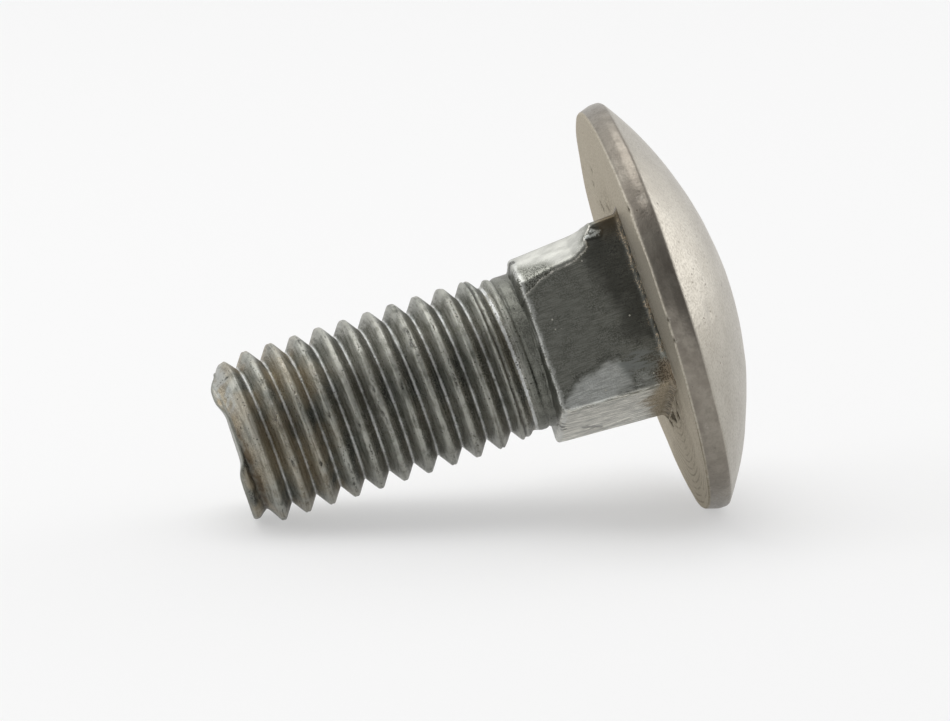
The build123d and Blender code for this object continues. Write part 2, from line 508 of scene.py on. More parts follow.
# Marks on the neck's seen face, as outlines of (distance from the head, lift) points. Lift is
# the way round the neck from the middle of that face, up towards the worn corner.
NECK_REACH = 7.2
TORN_END = [(2.91, 4.41), (2.63, 4.66), (2.65, 5.11), (2.03, 5.5), (1.9, 7.8), (8.2, 7.8)]
NECK_MARKS = {
    "flap": [(8.2, 2.9), (7.45, 3.17), (6.48, 3.67), (5.22, 3.96), (3.97, 4.03)] + TORN_END,
    "bright_flap": [(8.2, 5.75), (7.57, 5.6), (5.8, 4.88), (5.2, 3.96), (3.97, 4.03)] + TORN_END,
    "worn_patch": [
        (7.6, -5.3), (6.4, -4.4), (5.2, -4.05), (4.3, -3.8), (3.1, -3.65), (2.75, -4.2),
        (2.8, -5.2), (5.16, -5.8), (7.4, -5.8),
    ],
    "streaks": [(3.3, -3.75), (1.9, -3.6), (0.7, -3.8), (0.7, -4.4), (1.9, -4.8), (3.1, -4.8)],
    "dark_zone": [
        (-1.0, 7.0), (2.0, 5.3), (3.2, 4.1), (2.9, 2.6), (2.3, 1.4), (2.4, 0.2), (2.0, -0.8),
        (2.1, -1.8), (1.5, -2.8), (0.5, -3.3), (-1.0, -3.3),
    ],
    "stained_end": [
        (-1.0, -4.1), (0.8, -4.4), (1.4, -6.0), (2.0, -8.0), (1.7, -11.0), (1.0, -17.5),
        (-1.0, -17.5),
    ],
}
TONGUES = [
    [(2.7, 5.02), (2.1, 4.98), (1.6, 4.95), (1.55, 5.03), (2.1, 5.1), (2.6, 5.2)],
    [(2.25, 5.24), (1.8, 5.14), (1.45, 5.1), (1.45, 5.17), (1.8, 5.24), (2.1, 5.36)],
]
SCRATCH = [(6.35, -13.2), (5.5, -13.9), (4.6, -15.2), (4.7, -16.0), (5.6, -14.9), (6.2, -14.3)]
NECK_NICKS = [(7.75, 6.9), (7.7, -11.2), (7.8, -9.6), (7.6, -12.3)]


def inside_distance(place, corners):
    """How far points lie inside a polygon, and below zero outside it."""
    x, y = place
    nearest = np.full_like(x, FAR)
    inside = np.zeros(x.shape, bool)
    for (ax, ay), (bx, by) in zip(corners, corners[1:] + corners[:1]):
        dx, dy = bx - ax, by - ay
        along = np.clip(((x - ax) * dx + (y - ay) * dy) / (dx * dx + dy * dy), 0, 1)
        nearest = np.minimum(nearest, np.hypot(x - ax - along * dx, y - ay - along * dy))
        crosses = (ay > y) != (by > y)
        inside ^= crosses & (x < ax + (y - ay) * dx / (dy if dy else 1.0))
    return np.where(inside, nearest, -nearest)


def angle_of(points):
    return np.arctan2(points[:, 1], points[:, 0])


def neck_place(points):
    """Distance from the head and lift, for points on the neck."""
    return -points[:, 2], turn_between(angle_of(points), SEEN_FACE) * NECK_REACH


def on_tongues(place):
    return np.max([inside_distance(place, tongue) for tongue in TONGUES], axis=0)


def relief(points, height, size):
    """Soft noise up and down by about a height, with blotches of a given size."""
    return height * np.array([noise.noise(Vector(point) / size) for point in points])


def crest_share(points):
    """0 in the thread's roots, 1 on its crests."""
    return np.clip(1 - down_flank(angle_of(points), points[:, 2]), 0, 1)


def dent(places, centre, reach, depth):
    """How deep a soft dent goes at each place, with one reach or one along each axis."""
    return depth * np.exp(-np.sum(((places - np.array(centre)) / reach) ** 2, axis=1))


# Uneven relief, as (height, size of its blotches)
CREST_RELIEF = (0.03, 1.6)
TAIL_RELIEF = (0.05, 0.5)
ROUGH_RELIEF = (0.05, 0.35)
NECK_RELIEF = (0.02, 2.2)
SHOULDER_RELIEF = (0.07, 0.9)
HEAD_RELIEF = (0.06, 4.2)
FINE_HEAD_RELIEF = (0.012, 1.2)
NECK_RING_RELIEF = (0.05, 0.4)

# The thread's fine lap, the seam along its run-out, its rough tail, and its nicks. Those that
# show are (turn about the axis in degrees, distance from the head).
LAP_DEPTH = 0.045
LAP_WIDTH = 0.06
LAP_PATCH = (1.0, 2.5)
LAP_COVER = (-0.25, 0.3)
SEAM_DEPTH = 0.1
SEAM_WIDTH = 0.11
SEAM_SPAN = (13.0, 11.0)
ROUGH_TAIL_SPAN = (28.7, 29.2)
SMOOTH_END_SHARE = 0.8
SEEN_NICKS = [
    (213, 16.2), (227, 16.2), (249, 19.6), (266, 19.5), (269, 21.3), (256, 23.0), (248, 26.6),
    (200, 28.7),
]
SEEN_NICK_WIDTHS = (0.16, 0.22)
SEEN_NICK_LENGTHS = (0.2, 0.35)
SEEN_NICK_DEPTH = 0.14
RANDOM_NICKS = 110
RANDOM_NICK_TURNS = 9.5
NICK_SPREAD = 0.08
NICK_WIDTHS = (0.1, 0.26)
NICK_STRETCHES = (1.0, 3.0)
NICK_DEPTHS = (0.03, 0.1)
NICKED_CREST = (0.2, 0.6)
NICK_SEED = 12


def thread_wear(points):
    """Uneven crests with a fine lap along their middle, and the nicks in them."""
    crest = crest_share(points)
    from_head = -points[:, 2]
    places = np.stack(helix_place(angle_of(points), points[:, 2]), axis=1)
    across = places[:, 0]
    rise = relief(points, *CREST_RELIEF) * crest
    rise -= LAP_DEPTH * bell(across, LAP_WIDTH) * ramp(relief(points, *LAP_PATCH), LAP_COVER)
    rise -= SEAM_DEPTH * bell(across, SEAM_WIDTH) * ramp(from_head, SEAM_SPAN)
    roughened = ramp(from_head, ROUGH_TAIL_SPAN) * (1 - SMOOTH_END_SHARE * end_face(points))
    rise += relief(points, *TAIL_RELIEF) * roughened
    hollow = np.zeros(len(points))
    draw = np.random.default_rng(NICK_SEED)
    for turn in draw.uniform(0, RANDOM_NICK_TURNS, RANDOM_NICKS):
        centre = (draw.normal(0, NICK_SPREAD), turn * math.pi * THREAD_DIAMETER)
        width = draw.uniform(*NICK_WIDTHS)
        reach = (width, width * draw.uniform(*NICK_STRETCHES))
        hollow += dent(places, centre, reach, draw.uniform(*NICK_DEPTHS))
    for turn, nick_from_head in SEEN_NICKS:
        centre = helix_place(math.radians(turn), -nick_from_head)
        reach = (draw.uniform(*SEEN_NICK_WIDTHS), draw.uniform(*SEEN_NICK_LENGTHS))
        hollow += dent(places, centre, reach, SEEN_NICK_DEPTH)
    return rise, hollow * ramp(crest, NICKED_CREST)


# The neck's marks: how high or deep they are, and the spans over which they rise and end
FLAP_RISE = 0.1
FLAP_EDGE = (-0.05, 0.06)
FLAP_FALL = (0.2, 1.6)
FLAP_FALL_SHARE = 0.75
FLAP_END_EDGE = (-0.3, 0.1)
FLAP_END_SPAN = (2.6, 3.4)
TONGUE_RISE = 0.06
TONGUE_EDGE = (-0.06, 0.04)
SHOULDER_SPAN = (7.1, 7.7)
SCALE_SPAN = (0.1, 0.5)
NECK_NICK_SIZE = 0.3
NECK_NICK_DEPTH = 0.12
SCRATCH_DEPTH = 0.06
SCRATCH_EDGE = (-0.08, 0.05)


def neck_wear(points):
    """The proud flap and tongues, the wavy shoulder edge and rough scale by the head."""
    place = neck_place(points)
    from_head = place[0]
    flap = inside_distance(place, NECK_MARKS["flap"])
    rise = FLAP_RISE * ramp(flap, FLAP_EDGE) * (1 - FLAP_FALL_SHARE * ramp(flap, FLAP_FALL))
    by_tear = ramp(flap, FLAP_END_EDGE) * (1 - ramp(from_head, FLAP_END_SPAN))
    by_head = 1 - ramp(from_head, SCALE_SPAN)
    rise += relief(points, *ROUGH_RELIEF) * (by_tear + by_head)
    rise += TONGUE_RISE * ramp(on_tongues(place), TONGUE_EDGE)
    rise += relief(points, *NECK_RELIEF)
    rise += relief(points, *SHOULDER_RELIEF) * ramp(from_head, SHOULDER_SPAN)
    hollow = SCRATCH_DEPTH * ramp(inside_distance(place, SCRATCH), SCRATCH_EDGE)
    for centre in NECK_NICKS:
        hollow += dent(np.stack(place, axis=1), centre, NECK_NICK_SIZE, NECK_NICK_DEPTH)
    return rise, hollow


# Dents round the rim, as (turn about the axis, radius, height), and pits under the head, as
# (turn, radius), with the (size, depth) of each kind
RIM_DENTS = [
    (226, 14.2, 0.0), (259, 14.3, 0.1), (265, 14.3, 0.1), (225, 14.6, 1.0),
    (262, 11.9, 3.2), (292, 14.4, 0.6),
]
RIM_DENT = (0.35, 0.1)
UNDERSIDE_PITS = [(150, 10.9), (140, 10.6), (132, 9.8), (139, 9.0), (140, 8.5), (165, 7.5)]
UNDERSIDE_PIT = (0.28, 0.13)

# Short gouges under the head, beside the lower corner of the neck, as (x, y) middles
UNDERSIDE_GOUGES = [(7.25, -0.15), (6.7, -3.4), (7.8, 1.0), (7.65, -0.55), (8.6, 2.1), (5.4, -4.7)]
GOUGE_REACH = (0.2, 0.8, 0.2)
GOUGE_DEPTH = 0.2

# Shallow dents all over the dome, and the rough ring round the neck
DOME_DENTS = 34
DOME_DENT_PLACES = (0.1, 1.0)
DOME_DENT_SIZES = (0.4, 1.1)
DOME_DENT_DEPTHS = (0.015, 0.04)
DOME_SEED = 5
NECK_RING_TOP = 0.3
NECK_RING_START = (0.4, 0.8)
NECK_RING_END = (8.2, 10.5)


def head_wear(points):
    """An uneven dome and underside, dents round the rim, and pits and gouges underneath."""
    from_axis = np.hypot(points[:, 0], points[:, 1])
    by_neck = (1 - ramp(from_axis, NECK_RING_END)) * (points[:, 2] < NECK_RING_TOP)
    by_neck *= ramp(from_axis - neck_half_width(0), NECK_RING_START)
    rise = relief(points, *HEAD_RELIEF) + relief(points, *FINE_HEAD_RELIEF)
    rise += relief(points, *NECK_RING_RELIEF) * by_neck
    draw = np.random.default_rng(DOME_SEED)
    for _ in range(DOME_DENTS):
        turn = draw.uniform(0, TAU)
        out = math.sqrt(draw.uniform(*DOME_DENT_PLACES))
        centre = polar(out * HEAD_DIAMETER / 2, turn, RIM_HEIGHT + DOME_HEIGHT * (1 - out**2))
        size = draw.uniform(*DOME_DENT_SIZES)
        rise -= dent(points, centre, size, draw.uniform(*DOME_DENT_DEPTHS))
    hollow = np.zeros(len(points))
    for turn, radius, height in RIM_DENTS:
        hollow += dent(points, polar(radius, math.radians(turn), height), *RIM_DENT)
    for turn, radius in UNDERSIDE_PITS:
        hollow += dent(points, polar(radius, math.radians(turn), 0.0), *UNDERSIDE_PIT)
    for x, y in UNDERSIDE_GOUGES:
        hollow += dent(points, (x, y, 0.0), GOUGE_REACH, GOUGE_DEPTH)
    return rise, hollow


def surface_marks(points, hollow):
    """What the finishes read at each point of the unworn bolt, by name."""
    across, along = helix_place(angle_of(points), points[:, 2])
    place = neck_place(points)
    marks = {
        "bolt_place": points,
        "thread_place": np.stack([across, along, np.zeros(len(points))], axis=-1),
        "tongues": on_tongues(place),
        "lift": place[1],
        "facing": np.cos(place[1] / NECK_REACH),
        "crest": crest_share(points),
        "past_crest": across,
        "end_face": end_face(points),
        "hollow": hollow,
        "up": across_tail(points[:, 0], points[:, 1])[0],
        "radius": np.hypot(points[:, 0], points[:, 1]),
        "from_head": -points[:, 2],
    }
    marks.update({name: inside_distance(place, corners) for name, corners in NECK_MARKS.items()})
    return marks


def make_bolt():
    """One closed mesh, worn along its normals and placed as the bolt lies."""
    skin = Skin()
    ring = tail_and_thread(skin)
    thread_end = len(skin.points)
    ring = neck(skin, ring)
    neck_end = len(skin.points)
    head(skin, ring)
    points = np.array(skin.points)
    mesh = bpy.data.meshes.new("worn_bolt")
    mesh.from_pydata([tuple(p) for p in points], [], skin.faces)
    mesh.polygons.foreach_set("material_index", skin.finishes)
    mesh.polygons.foreach_set("use_smooth", [True] * len(skin.faces))
    normals = np.zeros(points.size, np.float32)
    mesh.vertex_normals.foreach_get("vector", normals)
    parts = np.split(points, [thread_end, neck_end])
    wears = [wear(part) for wear, part in zip((thread_wear, neck_wear, head_wear), parts)]
    rise, hollow = (np.concatenate(values) for values in zip(*wears))
    worn = points + normals.reshape(-1, 3) * (rise - hollow)[:, None]
    placing = np.array(bolt_frame())
    placed = worn * MM @ placing[:3, :3].T + placing[:3, 3]
    mesh.vertices.foreach_set("co", placed.astype(np.float32).ravel())

    for name, values in surface_marks(points, hollow).items():
        kind, field = ("FLOAT", "value") if values.ndim == 1 else ("FLOAT_VECTOR", "vector")
        mark = mesh.attributes.new(name, kind, "POINT")
        mark.data.foreach_set(field, values.astype(np.float32).ravel())
    mesh.update()
    piece = bpy.data.objects.new("worn_bolt", mesh)
    bpy.context.scene.collection.objects.link(piece)
    return piece


def link(socket, value):
    """Links a node's output to a socket, or sets the socket to a plain value."""
    if isinstance(value, bpy.types.NodeSocket):
        socket.id_data.links.new(value, socket)
    else:
        socket.default_value = value


def add_node(tree, kind, inputs, **settings):
    """A node with some settings, and with inputs that are linked or set by name or number."""
    node = tree.nodes.new(kind)
    for name, setting in settings.items():
        setattr(node, name, setting)
    for socket, value in inputs.items():
        link(node.inputs[socket], value)
    return node


def calc(operation, first, second=0.0):
    """Arithmetic on a node's output and on another or a number."""
    inputs = {0: first, 1: second}
    return add_node(first.id_data, "ShaderNodeMath", inputs, operation=operation).outputs[0]


def times(value, *others):
    for other in others:
        value = calc("MULTIPLY", value, other)
    return value


def plus(value, *others):
    for other in others:
        value = calc("ADD", value, other)
    return value


def span(value, low, high, to_low=0.0, to_high=1.0):
    """Turns a value's span into another, smoothly and without running past its ends."""
    inputs = {"Value": value, "From Min": low, "From Max": high, "To Min": to_low, "To Max": to_high}
    node = add_node(value.id_data, "ShaderNodeMapRange", inputs, interpolation_type="SMOOTHSTEP")
    return node.outputs["Result"]


def fall(value, low, high):
    """1 before a span, 0 after it."""
    return span(value, low, high, 1.0, 0.0)


def band(value, middle, half_width):
    """1 at the middle of a band, falling to 0 at its sides."""
    return fall(calc("ABSOLUTE", calc("SUBTRACT", value, middle)), 0.0, half_width)


def mix(share, *colours):
    """A colour between two, each of them a node's output or three numbers."""
    first, second = (c if isinstance(c, bpy.types.NodeSocket) else (*c, 1) for c in colours)
    inputs = {0: share, 6: first, 7: second}
    return add_node(share.id_data, "ShaderNodeMix", inputs, data_type="RGBA").outputs[2]


SPECK_CORE = 0.6


class Paint:
    """One metal finish, whose colour is laid on in coats. Sizes are in millimetres.

    Noise runs from about 0.25 to 0.75, so a span of it between those makes soft patches.
    """

    def __init__(self, name, mottle_size, fine_size=0.1, fine_detail=2.0, grit_span=(0.36, 0.64)):
        self.material = bpy.data.materials.new(name)
        self.material.use_nodes = True
        self.tree = self.material.node_tree
        self.inputs = self.tree.nodes["Principled BSDF"].inputs
        self.colour = None
        self.place = self.read("bolt_place", "Vector")
        self.from_head = self.read("from_head")
        self.mottle = self.noise(mottle_size)
        self.uneven = calc("SUBTRACT", self.mottle, 0.5)
        self.fine = self.noise(fine_size, fine_detail)
        self.grit = span(self.fine, *grit_span, -0.5, 0.5)
        self.specked = span(self.fine, 0.42, 0.6)

    def read(self, name, output="Fac"):
        """What the mesh says at each point, by name."""
        return add_node(self.tree, "ShaderNodeAttribute", {}, attribute_name=name).outputs[output]

    def texture(self, kind, inputs, stretch=(1, 1, 1), place=None):
        """A texture whose pattern is drawn out along the axes of a place."""
        where = {0: place or self.place, 1: stretch}
        drawn_out = add_node(self.tree, "ShaderNodeVectorMath", where, operation="DIVIDE")
        return add_node(self.tree, kind, {"Vector": drawn_out.outputs[0], **inputs})

    def noise(self, size, detail=3.0, *drawn_out):
        """Soft noise with blotches of a given size."""
        inputs = {"Scale": 1 / size, "Detail": detail}
        return self.texture("ShaderNodeTexNoise", inputs, *drawn_out).outputs["Fac"]

    def specks(self, size, share):
        """1 inside scattered specks, 0 elsewhere."""
        away = self.texture("ShaderNodeTexVoronoi", {"Scale": 1 / size}).outputs["Distance"]
        return fall(away, share * SPECK_CORE, share)

    def ragged(self, value, grit, uneven=0.0):
        """A value made rough by shares of the fine grit and of the broader unevenness."""
        rough = plus(value, times(self.grit, grit))
        return plus(rough, times(self.uneven, uneven)) if uneven else rough

    def coat(self, colour, *shares):
        """Lays a colour over what is there, by the product of some shares."""
        self.colour = mix(times(*shares), self.colour, colour)

    def finish(self, metallic, roughness, height, bump=0.03, strength=0.5):
        """Sets how the steel shines, with a bump in millimetres, and gives the material."""
        inputs = {"Strength": strength, "Distance": bump * MM, "Height": height}
        normal = add_node(self.tree, "ShaderNodeBump", inputs).outputs["Normal"]
        link(self.inputs["Base Color"], self.colour)
        link(self.inputs["Metallic"], metallic)
        link(self.inputs["Roughness"], roughness)
        link(self.inputs["Normal"], normal)
        return self.material


# Colours of the steel, its marks, and the painted shade and highlights on it. A list of two runs from
# the first to the second.
WHITE = (1, 1, 1)
BLACK_MARKS_AND_SHADE = (0.035, 0.035, 0.03)
DARK_STEEL = (0.1, 0.102, 0.086)
DULL_STEEL = (0.19, 0.193, 0.168)
STEEL = (0.32, 0.324, 0.288)
COOL_STEEL = (0.34, 0.358, 0.345)
WORN_STEEL = (0.43, 0.43, 0.39)
ROOT_HIGHLIGHT = (0.68, 0.69, 0.68)
TAN_STEEL = (0.44, 0.388, 0.29)
BROWN_STAIN_AND_SHADE = (0.12, 0.088, 0.054)
DARK_BROWN = (0.06, 0.046, 0.03)
FACET_HIGHLIGHT = (0.42, 0.445, 0.44)
THREAD_METALLIC = 0.9

# Distances from the head at which the thread's looks change
PLAIN_SHANK = (8.9, 9.6)
RUNOUT_SEAM = (11.2, 12.8)
TAIL_STAIN = (20.5, 25.0)
LAST_ROOT_HIGHLIGHT = (27.9, 28.4)
LAST_ROOT = (28.1, 28.5)
LAST_EDGE = (28.4, 28.7)
LAST_FLANK_HIGHLIGHT = (28.5, 28.9)


def thread_flanks(paint, broad, rolled):
    """Streaked flanks, with painted shade on the side that faces the head."""
    tint = mix(span(broad, 0.42, 0.58), STEEL, COOL_STEEL)
    tail_side = mix(span(paint.mottle, 0.35, 0.6, 0.5, 1.0), DULL_STEEL, tint)
    tail_side = mix(times(paint.specked, 0.5), tail_side, DARK_STEEL)
    tail_side = mix(span(rolled, 0.5, 0.62, 0.0, 0.55), tail_side, DARK_STEEL)
    tail_side = mix(span(rolled, 0.38, 0.46, 0.4, 0.0), tail_side, WORN_STEEL)
    # Painted shade: the flank that faces the head is made dark, with lighter specks
    shaded_head_side = mix(paint.specked, BLACK_MARKS_AND_SHADE, DULL_STEEL)
    shaded_head_side = mix(span(rolled, 0.36, 0.44, 0.5, 0.0), shaded_head_side, STEEL)
    head_side_shade = span(paint.ragged(paint.read("past_crest"), 0.25), 0.0, 0.35)
    paint.colour = mix(head_side_shade, tail_side, shaded_head_side)


def thread_crests(paint):
    """Worn crests with a broken lap along them and a seam along the run-out. Gives the lap."""
    past_crest = paint.read("past_crest")
    on_crest = span(paint.ragged(paint.read("crest"), 0.5), 0.62, 1.05)
    paint.coat(WORN_STEEL, on_crest, span(paint.mottle, 0.36, 0.6, 0.1, 0.85))
    wander = plus(past_crest, times(calc("SUBTRACT", paint.noise(0.3), 0.5), 0.5))
    runout = fall(paint.from_head, *RUNOUT_SEAM)
    lapped = calc("MAXIMUM", span(paint.noise(3.0), 0.46, 0.58), runout)
    broken = span(paint.noise(0.35), 0.46, 0.56)
    lap = times(band(wander, 0.03, 0.08), broken, lapped)
    seam = times(band(past_crest, 0.0, 0.16), runout, span(paint.mottle, 0.3, 0.5, 0.5, 0.9))
    paint.coat(BLACK_MARKS_AND_SHADE, calc("MAXIMUM", times(lap, 0.85), seam))
    return lap


def thread_roots(paint, broad, rolled):
    """Speckled painted highlights in the roots, and brown stain that deepens towards the tail."""
    crest = paint.read("crest")
    in_root = fall(paint.ragged(crest, 0.09), 0.1, 0.17)
    # A painted highlight along each root, which stops before the last turn
    ahead_of_tail = fall(paint.from_head, *LAST_ROOT_HIGHLIGHT)
    paint.coat(ROOT_HIGHLIGHT, in_root, ahead_of_tail, span(paint.mottle, 0.35, 0.55, 0.5, 1.0))
    tail = span(paint.from_head, *TAIL_STAIN)
    stain = times(span(broad, 0.34, 0.6), span(crest, 0.1, 1.0, 1.0, 0.6))
    stain = times(stain, span(tail, 0.0, 1.0, 0.25, 0.95), span(in_root, 0.0, 1.0, 1.0, 0.4))
    brown = mix(span(paint.fine, 0.3, 0.7, 0.0, 0.5), TAN_STEEL, BROWN_STAIN_AND_SHADE)
    brown = mix(span(rolled, 0.48, 0.6, 0.0, 0.4), brown, BROWN_STAIN_AND_SHADE)
    paint.coat(brown, stain)


def thread_tail(paint, broad):
    """The last turn, with its dark root, stained edge and a painted highlight on its upper facet, and
    the sheared end.
    """
    up = paint.read("up")
    # The last root, made dark brown on its lower half
    in_root = times(fall(paint.read("crest"), 0.05, 0.4), span(paint.from_head, *LAST_ROOT))
    in_root = times(in_root, fall(up, -0.6, 0.6), span(paint.read("radius"), 4.0, 4.5))
    paint.coat(DARK_BROWN, in_root, span(paint.mottle, 0.4, 0.6, 0.3, 0.8))
    at_edge = times(fall(paint.read("past_crest"), -0.75, -0.4), fall(up, 0.5, 2.0))
    at_edge = times(at_edge, span(paint.from_head, *LAST_EDGE))
    paint.coat(BROWN_STAIN_AND_SHADE, at_edge, span(paint.mottle, 0.35, 0.6, 0.2, 0.75))
    # A painted highlight, light and bluish, on the upper part of the last flank
    facet_highlight = times(span(paint.from_head, *LAST_FLANK_HIGHLIGHT), span(up, 1.4, 2.8))
    paint.coat(FACET_HIGHLIGHT, facet_highlight, span(paint.mottle, 0.35, 0.55), 0.55)
    torn = span(paint.noise(0.18, 2.0, (5, 1, 5)), 0.3, 0.7, 0.3, 0.8)
    sheared = mix(torn, DULL_STEEL, STEEL)
    sheared = mix(span(broad, 0.42, 0.62, 0.0, 0.4), sheared, DULL_STEEL)
    sheared = mix(span(paint.mottle, 0.5, 0.66, 0.0, 0.35), sheared, BROWN_STAIN_AND_SHADE)
    paint.coat(sheared, paint.read("end_face"))


def thread_steel():
    """The threaded length and the plain shank, with pits and nicks."""
    paint = Paint("thread_steel", mottle_size=0.9)
    broad = paint.noise(2.4)
    rolled = paint.noise(0.13, 2.0, (1, 16, 1), paint.read("thread_place", "Vector"))
    thread_flanks(paint, broad, rolled)
    lap = thread_crests(paint)
    thread_roots(paint, broad, rolled)
    thread_tail(paint, broad)
    shank = mix(span(paint.noise(0.8), 0.3, 0.7), DARK_STEEL, DULL_STEEL)
    shank = mix(times(paint.specked, 0.35), shank, STEEL)
    paint.coat(shank, fall(paint.from_head, *PLAIN_SHANK))
    pits = times(paint.specks(0.32, 0.22), span(paint.mottle, 0.46, 0.56))
    pits = times(pits, span(paint.read("end_face"), 0.0, 1.0, 1.0, 0.2))
    paint.coat(BLACK_MARKS_AND_SHADE, pits, 0.8)
    nicks = span(paint.read("hollow"), 0.05, 0.13)
    paint.coat(BLACK_MARKS_AND_SHADE, nicks, span(paint.fine, 0.4, 0.55, 0.2, 0.8))
    height = plus(times(paint.fine, 1.7), rolled, times(plus(pits, lap), -0.8))
    roughness = span(paint.fine, 0.3, 0.7, 0.34, 0.52)
    return paint.finish(THREAD_METALLIC, roughness, height, bump=0.04, strength=0.7)


# Colours of the neck's faces and marks
DRAWN_STEEL = [(0.2, 0.203, 0.178), (0.32, 0.324, 0.29)]
SCRATCHED_STEEL = [(0.22, 0.212, 0.18), (0.76, 0.745, 0.67)]
RUBBED_STEEL = [(0.5, 0.515, 0.495), (0.8, 0.82, 0.79)]
SMEARED_STEEL = [(0.45, 0.45, 0.42), (0.6, 0.6, 0.56)]
TORN_STEEL = (0.62, 0.64, 0.61)
CRACK_EDGE = (0.8, 0.78, 0.71)
SHOULDER_STEEL = (0.55, 0.555, 0.53)
TAN_SCALE = (0.4, 0.33, 0.24)
CORNER_STAIN = (0.12, 0.092, 0.055)
SOIL = [(0.24, 0.19, 0.13), (0.07, 0.052, 0.034)]
PALE_SOIL = [(0.6, 0.51, 0.375), (0.24, 0.195, 0.13)]
CAKED_SOIL = [(0.08, 0.064, 0.044), (0.36, 0.305, 0.22)]
FLECK = (0.7, 0.68, 0.6)

# Where the neck's looks change: distances from the head, lifts, and facing from 1 on the
# middle of the seen face to -1 on the far one. SHOULDER_EDGE and UPPER_CORNER_LIFT are
# (middle, half width), the others (start, end).
SEEN_FACING = (-0.8, -0.7)
RUBBED_LIFT = (-5.3, -4.5)
RUBBED_SPAN = (0.6, 1.8)
LOWER_FACE_LIFT = (-5.7, -5.35)
SHOULDER_EDGE = (7.7, 0.22)
SHOULDER_FACE = (7.86, 7.95)
SCALE_END = (0.05, 0.3)
CORNER_END = (1.2, 2.0)
UPPER_CORNER_LIFT = (5.7, 1.4)
CAKED_SPAN = (0.1, 0.7)


def neck_faces(paint, grain):
    """Dark drawn faces, darker still near the head, with a rubbed edge, and the scratched lower face.
    """
    faces = mix(span(grain, 0.3, 0.7), *DRAWN_STEEL)
    specks = times(paint.specked, span(paint.mottle, 0.35, 0.65, 0.2, 0.7))
    paint.colour = mix(specks, faces, DARK_STEEL)
    zone = paint.ragged(paint.read("dark_zone"), 0.3, 2.0)
    paint.coat(BLACK_MARKS_AND_SHADE, span(zone, -0.9, 0.7), span(paint.fine, 0.35, 0.6, 0.8, 0.45))

    rubbed_steel = mix(span(grain, 0.3, 0.7), *RUBBED_STEEL)
    rubbed_steel = mix(times(paint.specked, 0.35), rubbed_steel, STEEL)
    seen = span(paint.read("facing"), *SEEN_FACING)
    lift = paint.read("lift")
    rubbed = times(fall(paint.ragged(lift, 0.3, 1.6), *RUBBED_LIFT), seen)
    rubbed = times(rubbed, span(paint.from_head, *RUBBED_SPAN))
    paint.coat(rubbed_steel, rubbed, span(paint.noise(0.25, 3.0, (1, 1, 6)), 0.4, 0.6, 0.2, 0.65))

    below = times(fall(lift, *LOWER_FACE_LIFT), seen)
    lower = mix(span(paint.noise(0.08, 3.0, (1, 1, 16)), 0.42, 0.56), *SCRATCHED_STEEL)
    scored = span(paint.noise(0.2, 3.0, (1, 1, 12)), 0.5, 0.62)
    lower = mix(times(scored, 0.7), lower, DULL_STEEL)
    pits = times(paint.specks(0.25, 0.18), span(paint.mottle, 0.45, 0.6))
    paint.coat(mix(pits, lower, DARK_STEEL), below)
    return rubbed_steel, below


def neck_patch(paint, rubbed_steel):
    """The worn patch with its broken dark rim, and the streaks beside it."""
    patch = paint.ragged(paint.read("worn_patch"), 0.2, 0.8)
    broken = span(paint.noise(0.3), 0.44, 0.56, 0.1, 0.45)
    paint.coat(BLACK_MARKS_AND_SHADE, band(patch, -0.15, 0.22), broken)
    paint.coat(rubbed_steel, span(patch, -0.1, 0.35))
    drawn = span(paint.noise(0.16, 2.0, (1, 1, 10)), 0.44, 0.56)
    paint.coat(COOL_STEEL, span(paint.read("streaks"), -0.3, 0.2), drawn, 0.8)


def neck_flap(paint):
    """The smeared flap, its torn tongues with painted shadow round them, and the crack along its edge.
    Gives its bright part.
    """
    flap = paint.read("flap")
    smear = span(paint.ragged(flap, 0.1), -0.02, 0.05)
    paint.coat(mix(paint.specked, STEEL, DARK_STEEL), smear)
    torn = paint.ragged(paint.read("tongues"), 0.04)
    # Painted shadow in a dark band round the torn tongues
    paint.coat(BLACK_MARKS_AND_SHADE, band(torn, -0.1, 0.11), 0.7)
    paint.coat(TORN_STEEL, span(torn, -0.03, 0.03))
    bright = span(paint.ragged(paint.read("bright_flap"), 0.5), 0.0, 0.7)
    paint.coat(mix(span(paint.noise(0.5, 3.0, (1, 1, 3)), 0.3, 0.7), *SMEARED_STEEL), bright)
    crack = band(paint.ragged(flap, 0.07), 0.05, 0.06)
    paint.coat(CRACK_EDGE, crack, span(paint.noise(0.45), 0.38, 0.54, 0.4, 1.0))
    return bright


def neck_ends(paint, below):
    """The light shoulder edge, and scale, stain and soil by the head. Gives the soiled part."""
    wavy_edge = band(paint.ragged(paint.from_head, 0.2, 0.7), *SHOULDER_EDGE)
    paint.coat(SHOULDER_STEEL, wavy_edge, 0.85)
    paint.coat(DARK_STEEL, span(paint.from_head, *SHOULDER_FACE, 0.0, 0.75))
    off_head = paint.ragged(paint.from_head, 0.5, 1.8)
    crumbs = mix(paint.specked, TAN_SCALE, BROWN_STAIN_AND_SHADE)
    paint.coat(crumbs, fall(off_head, *SCALE_END), span(paint.noise(0.5), 0.42, 0.55))
    upper_corner = band(paint.read("lift"), *UPPER_CORNER_LIFT)
    paint.coat(CORNER_STAIN, fall(off_head, *CORNER_END), upper_corner, 0.8)
    caked = mix(span(paint.noise(0.35), 0.42, 0.58), *CAKED_SOIL)
    pale = mix(paint.specked, *PALE_SOIL)
    pale = mix(span(paint.from_head, *CAKED_SPAN, 0.9, 0.0), pale, caked)
    soiled = span(paint.ragged(paint.read("stained_end"), 0.5, 2.0), -0.4, 0.5, 0.0, 0.85)
    paint.coat(mix(below, mix(paint.specked, *SOIL), pale), soiled)
    return soiled


